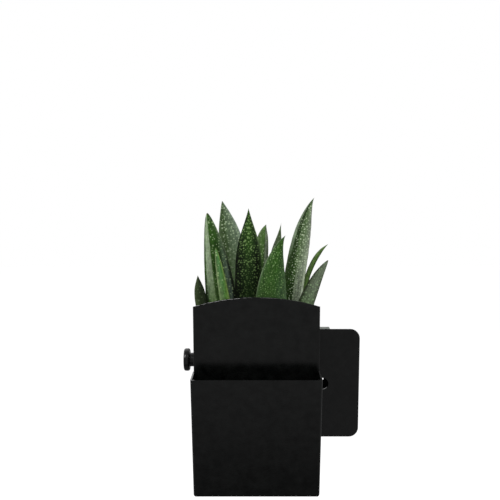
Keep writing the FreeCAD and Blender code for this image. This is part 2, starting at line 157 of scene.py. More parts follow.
relief, inside, out = new_group(
    "surface relief",
    [("Coarse Scale", FLOAT, 600.0), ("Fine Scale", FLOAT, 2500.0), ("Fine Share", FLOAT, 0.3)],
    [("Height", FLOAT)])
place = add(relief, "ShaderNodeTexCoord").outputs["Object"]
coarse = add(relief, "ShaderNodeTexNoise",
             {"Vector": place, "Scale": inside.outputs["Coarse Scale"], "Detail": 1.0}).outputs[0]
fine = add(relief, "ShaderNodeTexNoise",
           {"Vector": place, "Scale": inside.outputs["Fine Scale"], "Detail": 2.0}).outputs[0]
part_fine = math_node(relief, "MULTIPLY", fine, inside.outputs["Fine Share"])
relief.links.new(math_node(relief, "ADD", coarse, part_fine), out.inputs["Height"])

edge_rub, inside, out = new_group(
    "edge rub",
    [("Width", FLOAT, 0.0006), ("Patch Scale", FLOAT, 120.0), ("Strength", FLOAT, 1.0)],
    [("Mask", FLOAT)])
bent = add(edge_rub, "ShaderNodeBevel", {"Radius": inside.outputs["Width"]}, samples=4)
true = add(edge_rub, "ShaderNodeNewGeometry")
turned = add(edge_rub, "ShaderNodeVectorMath",
             {0: bent.outputs["Normal"], 1: true.outputs["Normal"]}, operation="DOT_PRODUCT")
near = remap(edge_rub, turned.outputs["Value"], flat_turn, edge_turn)
place = add(edge_rub, "ShaderNodeTexCoord").outputs["Object"]
patches = add(edge_rub, "ShaderNodeTexNoise",
              {"Vector": place, "Scale": inside.outputs["Patch Scale"], "Detail": 3.0}).outputs[0]
worn = math_node(edge_rub, "MULTIPLY", near, remap(edge_rub, patches, rub_starts, rub_full))
edge_rub.links.new(math_node(edge_rub, "MULTIPLY", worn, inside.outputs["Strength"], clamp=True),
                   out.inputs["Mask"])

mottle, inside, out = new_group(
    "mottle",
    [("Scale", FLOAT, 60.0), ("Detail", FLOAT, 4.0), ("Low", FLOAT, 0.0), ("High", FLOAT, 1.0)],
    [("Value", FLOAT)])
place = add(mottle, "ShaderNodeTexCoord").outputs["Object"]
cloud = add(mottle, "ShaderNodeTexNoise",
            {"Vector": place, "Scale": inside.outputs["Scale"],
             "Detail": inside.outputs["Detail"], "Roughness": 0.6}).outputs[0]
spread = add(mottle, "ShaderNodeMapRange",
             {"Value": cloud, "From Min": noise_low, "From Max": noise_high,
              "To Min": inside.outputs["Low"], "To Max": inside.outputs["High"]}, clamp=True)
mottle.links.new(spread.outputs["Result"], out.inputs["Value"])
print("node groups:", [g.name for g in bpy.data.node_groups])

# %% [markdown]
# ## Finishes
# Every finish starts the same way: a Principled BSDF with a colour pair that is mottled over the
# surface, a roughness that wanders between two values, a relief for the light to catch, and rubbed
# edges. What differs is the numbers, so one function makes them all, and each call is a recipe.
# Image textures would do it too, but these patterns have no seams and no fixed sharpness.

# %% The recipe for a finish
handled_finer, rub_finer = 1.7, 3.0  # handling and rubbed patches are finer than the colour's mottle


def new_material(name):
    """A material with nodes, its tree, and its Principled BSDF."""
    material = bpy.data.materials.new(name)
    material.use_nodes = True
    return material, material.node_tree, material.node_tree.nodes["Principled BSDF"]


def wire_surface(tree, shader, colour, rough, height, relief_mm):
    """Wires a colour, a roughness and a relief of so many millimetres into the shader."""
    bump = add(tree, "ShaderNodeBump", {"Height": height, "Distance": relief_mm * MM, "Strength": 1.0})
    tree.links.new(colour, shader.inputs["Base Color"])
    tree.links.new(rough, shader.inputs["Roughness"])
    tree.links.new(bump.outputs["Normal"], shader.inputs["Normal"])


def finish(name, dark, light, rough, patch, relief_mm, coarse, fine, fine_share=0.3,
           rub=None, rub_strength=0.0, rub_width=0.5, metallic=0.0):
    """A material: mottled colour and roughness, relief in millimetres, and rubbed edges."""
    material, tree, shader = new_material(name)
    shader.inputs["Metallic"].default_value = metallic
    tone = use(tree, mottle, Scale=patch, Detail=4.0, Low=0.0, High=1.0)["Value"]
    colour = mix_colour(tree, tone, (*dark, 1), (*light, 1))
    handled = use(tree, mottle, Scale=patch * handled_finer, Detail=5.0,
                  Low=rough[0], High=rough[1])["Value"]
    if rub:
        mask = use(tree, edge_rub, Width=rub_width * MM, Patch_Scale=patch * rub_finer,
                   Strength=rub_strength)["Mask"]
        colour = mix_colour(tree, mask, colour, (*rub, 1))
    height = use(tree, relief, Coarse_Scale=coarse, Fine_Scale=fine, Fine_Share=fine_share)["Height"]
    wire_surface(tree, shader, colour, handled, height, relief_mm)
    return material


finishes = {
    "black_coat": finish(
        "satin black powder coat", (0.0003, 0.0005, 0.0004), (0.0034, 0.0038, 0.0036), (0.16, 0.23),
        patch=150.0, relief_mm=0.012, coarse=850.0, fine=3600.0, fine_share=0.25,
        rub=(0.03, 0.032, 0.031), rub_strength=0.3, rub_width=0.35),
    "black_rivet": finish(
        "blackened rivet", (0.004, 0.004, 0.004), (0.009, 0.009, 0.009), (0.26, 0.42),
        patch=140.0, relief_mm=0.008, coarse=900.0, fine=4000.0,
        rub=(0.12, 0.12, 0.12), rub_strength=0.5, rub_width=0.35),
    "zinc_steel": finish(
        "pale zinc plate", (0.36, 0.40, 0.37), (0.54, 0.57, 0.53), (0.30, 0.5),
        patch=170.0, relief_mm=0.006, coarse=500.0, fine=5200.0, fine_share=0.6,
        rub=(0.66, 0.68, 0.65), rub_strength=0.5, rub_width=0.4, metallic=1.0),
    "black_rubber": finish(
        "matt black rubber", (0.012, 0.012, 0.012), (0.026, 0.026, 0.025), (0.7, 0.9),
        patch=260.0, relief_mm=0.03, coarse=1300.0, fine=5200.0, fine_share=0.7),
    "white_nylon": finish(
        "natural nylon", (0.62, 0.60, 0.53), (0.76, 0.75, 0.70), (0.42, 0.56),
        patch=220.0, relief_mm=0.01, coarse=900.0, fine=4200.0, fine_share=0.5),
    "black_knob": finish(
        "glossy black moulding", (0.004, 0.004, 0.004), (0.007, 0.007, 0.007), (0.13, 0.24),
        patch=120.0, relief_mm=0.006, coarse=420.0, fine=3000.0, fine_share=0.2,
        rub=(0.03, 0.03, 0.03), rub_strength=0.5, rub_width=0.5),
    "black_plastic": finish(
        "thin black moulded plastic", (0.010, 0.010, 0.010), (0.022, 0.022, 0.021), (0.42, 0.62),
        patch=50.0, relief_mm=0.03, coarse=700.0, fine=3400.0, fine_share=0.6,
        rub=(0.05, 0.05, 0.05), rub_strength=0.4, rub_width=0.5),
}
print("finishes:", len(finishes))

# %% [markdown]
# The CAD nodes whose shape is right are kept as they are. Each one is found in the record by its material
# slot, and the finish goes into the slots of its object. The bracket is a channel, and its inside gets
# painted shade: a copy of the zinc with a dark tone laid over the inside, where the channel's walls keep
# the light out. Two ranges of its Object coordinates say where that is.

# %% Dress the CAD nodes
slot_of = {row["node"]: row["material_slot"] for row in frame["record"]["subparts"]}
for node, slot_name in slot_of.items():
    if slot_name in finishes:
        for slot in frame["nodes"][node].material_slots:
            slot.material = finishes[slot_name]

# Each pair gives where the painted shade inside the channel is gone, and where it is full.
unshaded_height, painted_shade_height = 42.2, 41.2  # mm above and below the channel's middle
unshaded_depth, painted_shade_depth = -0.4, -0.9  # mm in Y
channel = finishes["zinc_steel"].copy()
channel.name = "zinc plate, painted shade in the channel"
tree = channel.node_tree
shader = tree.nodes["Principled BSDF"]
place = add(tree, "ShaderNodeSeparateXYZ", {0: add(tree, "ShaderNodeTexCoord").outputs["Object"]})
level = math_node(tree, "ABSOLUTE", place.outputs["Z"])
between = remap(tree, level, unshaded_height * MM, painted_shade_height * MM)
before_back = remap(tree, place.outputs["Y"], unshaded_depth * MM, painted_shade_depth * MM)
# Painted shade: the inside of the channel darkens to near black, where its walls keep the light out.
painted_shade = math_node(tree, "MULTIPLY", between, before_back)
unshaded_zinc = shader.inputs["Base Color"].links[0].from_socket
tree.links.new(mix_colour(tree, painted_shade, unshaded_zinc, (0.012, 0.012, 0.011, 1)), shader.inputs["Base Color"])
for slot in frame["nodes"]["wall_bracket"].material_slots:
    slot.material = channel
print("dressed:", sum(name in finishes for name in slot_of.values()), "nodes")

# %% [markdown]
# ## The plant
# The plant is a clump of stiff, keeled, fleshy leaves with pale raised dots. A leaf is a section
# carried along a curved spine. The section is a lens with a ridge: its front is low and its back is
# a deep keel, and both meet in a rounded margin. On some leaves the front has a ridge too, off the
# middle, which splits it into a lit face and a shaded face.
#
# A sculpted mesh would do as well, but a formula gives every leaf the same logic, and the dots can be
# raised from the surface itself, so that they are there in the mesh and not only in the shading.

# %% Smooth random numbers without an image
dot_pitch, dot_radii = (2.1, 2.3), (0.36, 0.86)  # mm: a cell's sides, and a dot's least and most radius


def hashed(i, j, seed):
    """A repeatable number from 0 to 1 for each cell: the fraction of a large sine of its indices."""
    value = np.sin(i * 127.1 + j * 311.7 + seed * 74.7) * 43758.5453
    return value - np.floor(value)


def lumps(points, size, seed, waves=12):
    """Smooth bumps, mostly from -1 to 1: a sum of sine waves of about one size in random directions."""
    chance = np.random.default_rng(seed)
    ways = chance.normal(size=(waves, 3))
    ways /= np.linalg.norm(ways, axis=1)[:, None]
    lengths = size * chance.uniform(0.6, 1.5, waves)
    phases = chance.uniform(0, 2 * np.pi, waves)
    heights = np.sin(points @ ways.T * (2 * np.pi / lengths) + phases)
    return heights.sum(axis=1) / (waves / 2)


def dots(u, v, seed, pitch=dot_pitch, size=dot_radii, kept=0.8):
    """A field of round dots on a surface measured in mm: each cell of a grid, with every second row
    set over by half, holds one dot at a random place, with a random radius and strength, or none.
    The value is the strength at a dot's middle and falls smoothly to 0 at its rim; the highest of
    nine cells counts."""
    wander, weakest = 0.8, 0.3  # share of a cell that a dot's middle may lie in, and least strength
    foot = 1.25  # a dot's slope ends at this many radii
    value = np.zeros_like(u)
    row = np.floor(v / pitch[1])
    for step_v in (-1, 0, 1):
        j = row + step_v
        shift = 0.5 * np.mod(j, 2)
        column = np.floor(u / pitch[0] - shift)
        for step_u in (-1, 0, 1):
            i = column + step_u
            middle_u = (i + shift + 0.5 + wander * (hashed(i, j, seed) - 0.5)) * pitch[0]
            middle_v = (j + 0.5 + wander * (hashed(i, j, seed + 1) - 0.5)) * pitch[1]
            radius = size[0] + (size[1] - size[0]) * hashed(i, j, seed + 2)
            here = hashed(i, j, seed + 3) < kept
            share = np.clip(foot - np.hypot(u - middle_u, v - middle_v) / radius, 0, 1)
            strength = weakest + (1 - weakest) * hashed(i, j, seed + 4)
            value = np.maximum(value, here * strength * share * share * (3 - 2 * share))
    return value


square = np.meshgrid(np.arange(0, 10, 0.1), np.arange(0, 10, 0.1))
print("share of a 10 mm square under dots:", round(float((dots(*square, seed=1) > 0).mean()), 2))

# %% [markdown]
# The leaf's formula. Along the spine, `t` runs from 0 at the root to 1 at the tip. Across, `a` runs
# once round the section, so that cos(a) is the place between the two margins, and sin(a) is above 0
# on the front and below it on the keel side. The spine is the parabola through the leaf's root,
# middle and tip, and the width grows a little and then runs out to a point.

# %% The leaf's surface
root_depth = 1.0  # mm from the crowns' top down to a leaf's root
least_thickness, thickness_share = 0.8, 0.26  # mm, and share of the width on top of that
lens_power = 1.3  # how lean the section's curve is; at 1 it would be an ellipse
ridge_sharpness, keel_sharpness = 7.0, 4.0  # how sharply the two slopes of each roof meet
keel_rise, keel_share = 0.62, 0.55  # the back's rise by the thickness, and how much of it is roof
margin_radius = 0.3  # mm, so that a margin isn't a knife's edge
tip_thinning = 14  # a leaf thins out over the last fourteenth of its length
wave_height, wave_width, wave_turn = 0.25, 16, 17  # mm, at this width in mm, and radians along a leaf


def box_mm(node):
    """A node's lowest and highest corners at rest, in millimetres."""
    return tuple(np.array(corner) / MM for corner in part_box(node))


pot_low, pot_high = box_mm("nursery_pot")
pot_middle = (pot_low + pot_high) / 2
crown_top = box_mm("plant_crown_left")[1][2]


def roof(x, ridge, sharpness):
    """A ridged roof from 0 at both margins to 1 at the ridge, its two slopes blended smoothly."""
    left = np.clip((1 + x) / (1 + ridge), 1e-6, None)
    right = np.clip((1 - x) / (1 - ridge), 1e-6, None)
    return (left ** -sharpness + right ** -sharpness) ** (-1 / sharpness)


def taper(t, widening, hollow):
    """Width at t as a share of the full width: from the tip it grows as a power of the distance
    until it levels off, and over the lowest quarter it narrows again to the root."""
    lowest, narrowed, levelling = 0.25, 0.25, 4
    grown = (np.clip(1 - t, 0, 1) / widening) ** hollow
    root = np.clip(1 - t / lowest, 0, 1) ** 2
    return grown / (1 + grown ** levelling) ** (1 / levelling) * (1 - narrowed * root)


def leaf_spine(t, leaf):
    """The parabola through root, middle and tip at t, in mm, and its direction."""
    base = np.array([pot_middle[0], pot_middle[1], crown_top])
    root = base + np.array([*leaf["root"], -root_depth])
    middle, tip, t = base + leaf["middle"], base + leaf["tip"], np.asarray(t)[..., None]
    spine = root * (1 - t) * (1 - 2 * t) + middle * 4 * t * (1 - t) + tip * t * (2 * t - 1)
    along = root * (4 * t - 3) + middle * (4 - 8 * t) + tip * (4 * t - 1)
    return spine, along / np.linalg.norm(along, axis=-1)[..., None]


def leaf_surface(t, a, leaf):
    """Points in mm, the place across from -1 to 1, and the half width, for arrays of t and a."""
    spine, along = leaf_spine(t, leaf)
    facing = np.radians(leaf["facing"])
    level = np.array([np.cos(facing), np.sin(facing), 0.0])
    side = level - along * (along @ level)[..., None]
    side /= np.linalg.norm(side, axis=-1)[..., None]
    front = np.cross(side, along)
    half = 0.5 * leaf["width"] * taper(t, leaf["widening"], leaf["hollow"])
    thick = least_thickness + thickness_share * 2 * half
    x, height = np.cos(a), np.sin(a)
    lens = np.abs(height) ** lens_power
    share = leaf.get("ridged", 0.15)
    ridge = roof(x, leaf.get("ridge", 0.0), ridge_sharpness)
    keel = roof(x, 0.0, keel_sharpness)
    front_rise = leaf.get("front", 0.3) * ((1 - share) * lens + share * ridge)
    back_rise = keel_rise * ((1 - keel_share) * lens + keel_share * keel)
    rise = np.where(height >= 0, front_rise * thick, -back_rise * thick) + margin_radius * height
    rise = rise * np.clip((1 - t) * tip_thinning, 0, 1)
    wave = wave_height * np.sin(t * wave_turn + leaf["facing"]) * x * x * 2 * half / wave_width
    return spine + side * (half * x)[..., None] + front * (rise + wave)[..., None], x, half


# %% [markdown]
# The bands hold painted light and shade besides each leaf's own colour: pale bands are painted highlights
# on lit faces and keels, and near-black bands are painted shadows between the leaves.
# Each leaf is one row of facts. `root`, `middle` and `tip` are in mm from the pot's middle and the crowns'
# top, and the root lies inside the crown, as a real leaf's sheath does. `width` is the full width,
# `widening` the share of the length over which the leaf reaches it, and `hollow` how hollow that taper is.
# `facing` turns the front, in degrees, and at 0 it faces the room. `looks` are the front's colours, read
# from the photograph: at some shares of the length, a row of bands, each a place from the left margin at -1
# to the right margin at 1, and its colour. Between two looks the colours blend.
#
# The dots have a colour, `dot`, a height in mm, `raised`, and a share of the grid's cells that hold one,
# `kept`. `pitch` and `dot_size` change the cells and the radii, `dotted` weakens the dots across the front,
# and `dot_low` dims their colour low down with painted shade. `ridge` is where the front's ridge runs,
# `ridged` how much of the front's rise is ridge, and `front` that rise by the leaf's thickness. `base` is
# how light the root stays under the painted shade that darkens each leaf towards its root, and `dry` how
# dry the tip is.

# %% The eleven leaves
def linear(red, green, blue):
    """A colour as it is read on a screen, 0 to 255, made linear for the shader."""
    value = np.array([red, green, blue]) / 255.0
    return np.where(value <= 0.04045, value / 12.92, ((value + 0.055) / 1.055) ** 2.4)


def leaf_facts(root, middle, tip, width, widening, hollow, facing, looks, **rest):
    """One leaf's row. Each look is a share of the length and the colour bands there, made linear."""
    looks = [(share, [place for place, _ in bands], np.array([linear(*colour) for _, colour in bands]))
             for share, bands in looks]
    return dict(root=root, middle=middle, tip=tip, width=width, widening=widening, hollow=hollow,
                facing=facing, looks=looks, **rest)


leaves = {
    "leaf_01": leaf_facts(
        (-37.6, -3.0), (-45.3, -3.5, 32.5), (-48.7, -3.5, 59.6), 10.6, 0.26, 1.05, 20.0,
        [(0, [(-1, (56, 70, 42)), (-0.5, (46, 60, 32)), (0.0, (33, 46, 22)), (0.3, (20, 28, 12)),
              (1, (12, 18, 7))]),
         (0.8, [(-1, (64, 78, 50)), (-0.4, (54, 68, 40)), (0.2, (40, 52, 30)), (1, (32, 42, 24))])],
        dot=(84, 98, 70), kept=0.3, raised=0.08, base=0.7),
    "leaf_02": leaf_facts(
        (-29.0, 6.0), (-30.6, 1.0, 47.5), (-40.6, -1.0, 110.7), 30.0, 0.52, 0.63, 12.0,
        [(0.36, [(-1, (12, 22, 5)), (-0.84, (16, 32, 6)), (-0.76, (60, 88, 40)), (-0.62, (92, 118, 72)),
                 (-0.4, (100, 124, 78)), (-0.3, (60, 88, 40)), (0.1, (24, 44, 10)), (0.42, (10, 20, 4)),
                 (0.54, (62, 76, 66)), (0.74, (70, 84, 72)), (0.84, (12, 20, 8)), (1, (10, 18, 6))]),
         (0.60, [(-1, (52, 80, 34)), (-0.89, (44, 72, 26)), (-0.82, (136, 154, 124)),
                 (-0.48, (130, 146, 118)), (-0.38, (40, 70, 20)), (0.1, (30, 58, 12)),
                 (0.40, (14, 28, 5)), (0.54, (66, 84, 64)), (0.76, (82, 98, 82)), (0.86, (20, 32, 14)),
                 (1, (16, 26, 10))]),
         (0.84, [(-1, (60, 88, 44)), (-0.89, (84, 106, 70)), (-0.82, (142, 159, 130)),
                 (-0.48, (126, 144, 112)), (-0.38, (46, 80, 24)), (0.1, (40, 76, 18)),
                 (0.6, (44, 74, 26)), (0.84, (72, 94, 60)), (0.92, (100, 120, 88)), (1, (96, 114, 86))])],
        ridge=-0.42, ridged=0.9, front=0.4, dot=(126, 148, 106), kept=0.6, raised=0.12, base=1.0,
        dot_low=0.8),
    "leaf_03": leaf_facts(
        (-19.5, -11.0), (-26.0, -16.0, 42.4), (-33.0, -18.0, 83.6), 9.6, 0.40, 0.63, 0.0,
        [(0.42, [(-1, (84, 110, 62)), (-0.8, (120, 146, 96)), (-0.3, (116, 142, 92)),
                 (0.1, (78, 114, 48)), (0.6, (100, 136, 58)), (0.85, (118, 140, 76)), (1, (44, 70, 22))]),
         (0.75, [(-1, (92, 116, 70)), (-0.8, (132, 150, 106)), (-0.6, (74, 108, 58)),
                 (0.1, (76, 120, 68)), (0.55, (64, 108, 46)), (0.8, (104, 128, 66)), (1, (40, 66, 22))])],
        ridge=-0.4, ridged=0.6, dot=(140, 164, 112), kept=0.3, raised=0.06, base=0.9),
    "leaf_04": leaf_facts(
        (-16.0, 15.5), (-17.2, 20.0, 52.2), (-29.2, 20.0, 119.9), 24.0, 0.22, 0.88, -10.0,
        [(0.34, [(-1, (8, 16, 4)), (0, (14, 26, 8)), (1, (12, 22, 8))]),
         (0.47, [(-1, (82, 102, 62)), (-0.35, (96, 122, 78)), (0.5, (122, 144, 108)), (1, (96, 116, 86))]),
         (0.70, [(-1, (104, 120, 94)), (-0.86, (72, 92, 58)), (-0.35, (62, 84, 46)),
                 (-0.12, (84, 104, 74)), (0.5, (92, 110, 86)), (0.88, (104, 120, 100)),
                 (1, (136, 150, 134))])],
        ridge=-0.35, ridged=0.7, dot=(154, 172, 138), kept=0.75, raised=0.16, base=1.0,
        dot_size=(0.42, 0.92), dot_low=0.6),
    "leaf_05": leaf_facts(
        (-7.1, -8.0), (-6.6, -13.0, 54.2), (-6.4, -17.0, 115.2), 22.2, 0.26, 1.12, 0.0,
        [(0.46, [(-1, (5, 12, 2)), (-0.6, (7, 18, 3)), (-0.1, (22, 42, 12)), (0.3, (19, 37, 11)),
                 (0.65, (9, 21, 4)), (1, (11, 25, 5))]),
         (0.66, [(-1, (5, 12, 2)), (-0.6, (10, 24, 4)), (-0.1, (32, 56, 16)), (0.3, (22, 44, 10)),
                 (0.6, (8, 18, 3)), (0.85, (16, 30, 8)), (1, (50, 74, 34))]),
         (0.86, [(-1, (30, 50, 20)), (-0.5, (30, 56, 14)), (0, (44, 78, 20)), (0.45, (34, 60, 18)),
                 (0.8, (28, 48, 18)), (1, (84, 104, 66))])],
        ridge=0.0, ridged=0.4, dot=(110, 140, 80), kept=0.95, raised=0.2, base=1.0, dry=0.0,
        dot_low=0.35, pitch=(1.8, 1.9), dot_size=(0.34, 0.86),
        dotted=((-1, -0.7, -0.4, 0.4, 0.7, 1), (0.4, 0.75, 1, 1, 0.8, 0.5))),
    "leaf_06": leaf_facts(
        (2.4, 11.0), (3.2, 17.0, 69.0), (8.2, 20.0, 100.2), 13.2, 0.33, 1.15, 0.0,
        [(0.58, [(-1, (56, 78, 42)), (0.2, (42, 66, 28)), (0.42, (30, 46, 20)), (0.58, (88, 102, 80)),
                 (1, (46, 58, 36))]),
         (0.86, [(-1, (92, 110, 76)), (-0.5, (76, 104, 54)), (0.2, (70, 104, 46)), (0.42, (60, 84, 42)),
                 (0.56, (108, 120, 100)), (0.78, (88, 100, 78)), (1, (64, 76, 52))])],
        ridge=0.5, ridged=0.6, dot=(120, 142, 98), kept=0.6, raised=0.1, base=0.7),
    "leaf_07": leaf_facts(
        (11.0, 17.0), (13.7, 24.0, 45.0), (21.0, 26.0, 101.4), 11.6, 0.21, 1.40, -8.0,
        [(0, [(-1, (108, 122, 100)), (-0.75, (94, 110, 84)), (-0.5, (68, 84, 54)), (0, (78, 98, 62)),
              (0.6, (70, 86, 56)), (1, (102, 116, 92))])],
        dot=(124, 140, 108), kept=0.45, raised=0.08, base=0.8),
    "leaf_08": leaf_facts(
        (12.2, -16.0), (13.2, -22.0, 61.3), (23.1, -26.0, 94.2), 28.8, 0.64, 1.24, 0.0,
        [(0.45, [(-1, (92, 114, 76)), (-0.88, (54, 82, 40)), (-0.3, (54, 86, 36)), (0.2, (54, 84, 40)),
                 (0.6, (62, 90, 56)), (1, (76, 100, 66))]),
         (0.72, [(-1, (112, 132, 100)), (-0.86, (56, 86, 42)), (-0.6, (50, 82, 32)),
                 (0.1, (48, 84, 26)), (0.6, (42, 72, 28)), (1, (62, 88, 52))])],
        ridge=0.2, ridged=0.25, dot=(108, 140, 84), kept=0.85, raised=0.12, base=1.0,
        pitch=(1.8, 1.9), dot_size=(0.26, 0.66)),
    "leaf_09": leaf_facts(
        (24.2, 2.0), (36.5, 7.0, 85.0), (47.9, 8.0, 123.0), 18.0, 0.48, 1.35, 0.0,
        [(0.42, [(-1, (36, 58, 18)), (-0.4, (30, 56, 12)), (0.02, (34, 60, 16)), (0.12, (146, 160, 134)),
                 (0.22, (104, 120, 92)), (0.38, (136, 148, 128)), (0.5, (110, 122, 100)),
                 (0.62, (146, 158, 138)), (0.72, (100, 114, 88)), (0.80, (178, 192, 166)),
                 (0.92, (200, 212, 186)), (1, (96, 116, 70))]),
         (0.58, [(-1, (70, 88, 56)), (-0.76, (34, 56, 18)), (-0.3, (34, 58, 16)), (-0.1, (70, 94, 52)),
                 (0.3, (104, 120, 92)), (0.7, (122, 134, 112)), (0.9, (158, 170, 146)),
                 (1, (110, 124, 92))]),
         (0.72, [(-1, (116, 132, 108)), (-0.74, (104, 120, 94)), (-0.64, (34, 56, 18)),
                 (-0.36, (32, 54, 16)), (-0.2, (70, 94, 54)), (0.3, (88, 108, 74)),
                 (0.6, (102, 118, 92)), (0.86, (108, 118, 100)), (1, (138, 140, 132))])],
        ridge=0.55, ridged=0.7, front=0.4, dot=(166, 182, 150), kept=0.97, raised=0.2, base=1.0,
        pitch=(1.8, 2.0), dot_size=(0.3, 0.76),
        dotted=((-1, -0.7, -0.4, -0.1, 1), (0.15, 0.3, 0.55, 1, 1))),
    "leaf_10": leaf_facts(
        (36.5, 12.0), (42.5, 14.0, 54.0), (60.5, 15.0, 83.9), 4.8, 0.20, 1.0, 15.0,
        [(0, [(-1, (108, 128, 88)), (-0.6, (92, 120, 64)), (0.3, (78, 108, 46)), (0.7, (50, 72, 30)),
              (1, (60, 76, 44))])],
        dot=(110, 130, 92), kept=0.15, raised=0.04, base=0.75),
    "leaf_11": leaf_facts(
        (30.6, -8.0), (42.9, -6.0, 41.7), (59.0, -4.0, 72.2), 16.3, 0.60, 0.72, -12.0,
        [(0.40, [(-1, (34, 40, 22)), (-0.75, (52, 74, 38)), (-0.5, (82, 108, 66)), (0.4, (92, 118, 76)),
                 (1, (74, 92, 60))]),
         (0.66, [(-1, (40, 40, 30)), (-0.78, (46, 56, 36)), (-0.55, (84, 96, 74)), (0.3, (94, 106, 86)),
                 (0.8, (84, 94, 76)), (1, (62, 68, 52))])],
        ridge=-0.6, ridged=0.5, dot=(118, 142, 104), kept=0.6, raised=0.1, base=0.9),
}

# %% [markdown]
# The grid's rows are about 0.3 mm apart, near the size of the smallest dot's slope. The dots are
# found on the surface in millimetres, the vertices under them move out along the surface's normal,
# and the same value is kept as an attribute, so colour and relief stay together. The front is
# coloured by its looks, and the back by the plain mean of the last one.

# %% Grid to mesh
row_spacing = 0.3  # mm between the grid's rows
rows_end = 0.997  # share of the length where the rows stop and the tip's fan of triangles starts
back_shift = 40.0  # mm: gives the back another stretch of the dots' and streaks' pattern
root_bare, tip_bare = 6, 5  # mm from the root and from the tip over which the dots grow to full height
bare_margin = 0.97  # the dots end at this share of the way to a margin
skin_lump, skin_height = 7.0, 0.1  # mm: the skin's slight unevenness


def surface_normals(points):
    """Unit normals of a grid closed in its second direction: the cross product of its two slopes."""
    down = np.gradient(points, axis=0)
    around = (np.roll(points, -1, axis=1) - np.roll(points, 1, axis=1)) / 2
    normal = np.cross(around, down)
    return normal / np.maximum(np.linalg.norm(normal, axis=2), 1e-9)[..., None]


def tube_faces(rows, columns):
    """Quads of a grid whose last column meets its first, with a fan to a pole at each end. The poles
    are the last two vertices: the one before the first row, then the one after the last row."""
    i, j = np.meshgrid(np.arange(rows - 1), np.arange(columns), indexing="ij")
    k = (j + 1) % columns
    quads = np.stack([i * columns + j, i * columns + k, (i + 1) * columns + k, (i + 1) * columns + j],
                     axis=-1).reshape(-1, 4)
    ring = np.arange(columns)
    after = (ring + 1) % columns
    first = np.stack([np.full(columns, rows * columns), after, ring], axis=1)
    last_row = (rows - 1) * columns
    last = np.stack([np.full(columns, rows * columns + 1), last_row + ring, last_row + after], axis=1)
    return quads, np.concatenate([first, last])


def make_mesh(name, points_mm, quads, triangles, attributes=None):
    """A mesh object at the origin, smooth shaded, with its points given in millimetres."""
    mesh = bpy.data.meshes.new(name)
    loops = np.concatenate([quads.ravel(), triangles.ravel()]).astype(np.int32)
    sizes = np.concatenate([np.full(len(quads), 4), np.full(len(triangles), 3)])
    starts = np.concatenate([[0], np.cumsum(sizes)[:-1]]).astype(np.int32)
    mesh.vertices.add(len(points_mm))
    mesh.vertices.foreach_set("co", (points_mm * MM).astype(np.float32).ravel())
    mesh.loops.add(len(loops))
    mesh.loops.foreach_set("vertex_index", loops)
    mesh.polygons.add(len(sizes))
    mesh.polygons.foreach_set("loop_start", starts)
    mesh.polygons.foreach_set("use_smooth", np.ones(len(sizes), dtype=bool))
    for label, values in (attributes or {}).items():
        kind, field = ("FLOAT_COLOR", "color") if values.ndim == 2 else ("FLOAT", "value")
        layer = mesh.attributes.new(label, kind, "POINT")
        layer.data.foreach_set(field, values.astype(np.float32).ravel())
    mesh.update(calc_edges=True)
    mesh.validate()
    made = bpy.data.objects.new(name, mesh)
    bpy.context.collection.objects.link(made)
    return made


def front_colours(looks, share, x):
    """The front's colours: bands across, read at x, that blend from look to look along the leaf."""
    front, start = None, 0.0
    for here, places, colours in looks:
        look = np.stack([np.interp(x, places, colours[:, c]) for c in range(3)], axis=-1)
        if front is None:
            front = look
        else:
            front = front + (look - front) * np.clip((share - start) / (here - start), 0, 1)[..., None]
        start = here
    return front


def leaf_tints(leaf, share, to_tip, x, behind):
    """Colours of the skin and of its dots: both darken towards the root, which is painted shade, and the
    skin dries out in the last 2 mm before the tip."""
    # The back, too, is darker towards the root: painted shade.
    back = leaf["looks"][-1][2].mean(axis=0) * (0.55 + 0.3 * share[..., None])
    colour = np.where(behind[..., None], back, front_colours(leaf["looks"], share, x))
    # Painted shade: each leaf darkens towards its root, where the other leaves shade it.
    shaded = leaf["base"] + (1 - leaf["base"]) * np.clip((share - 0.25) / 0.4, 0, 1)
    colour = colour * shaded[..., None]
    dry = np.clip((2.2 - to_tip) / 1.6, 0, 1)[..., None] * leaf.get("dry", 0.8)
    colour = colour * (1 - dry) + linear(74, 74, 52) * dry
    dimmed = 1 - (1 - leaf.get("dot_low", 1.0)) * np.clip((0.85 - share) / 0.4, 0, 1)
    return colour, (shaded ** 1.3 * dimmed)[..., None] * linear(*leaf["dot"])


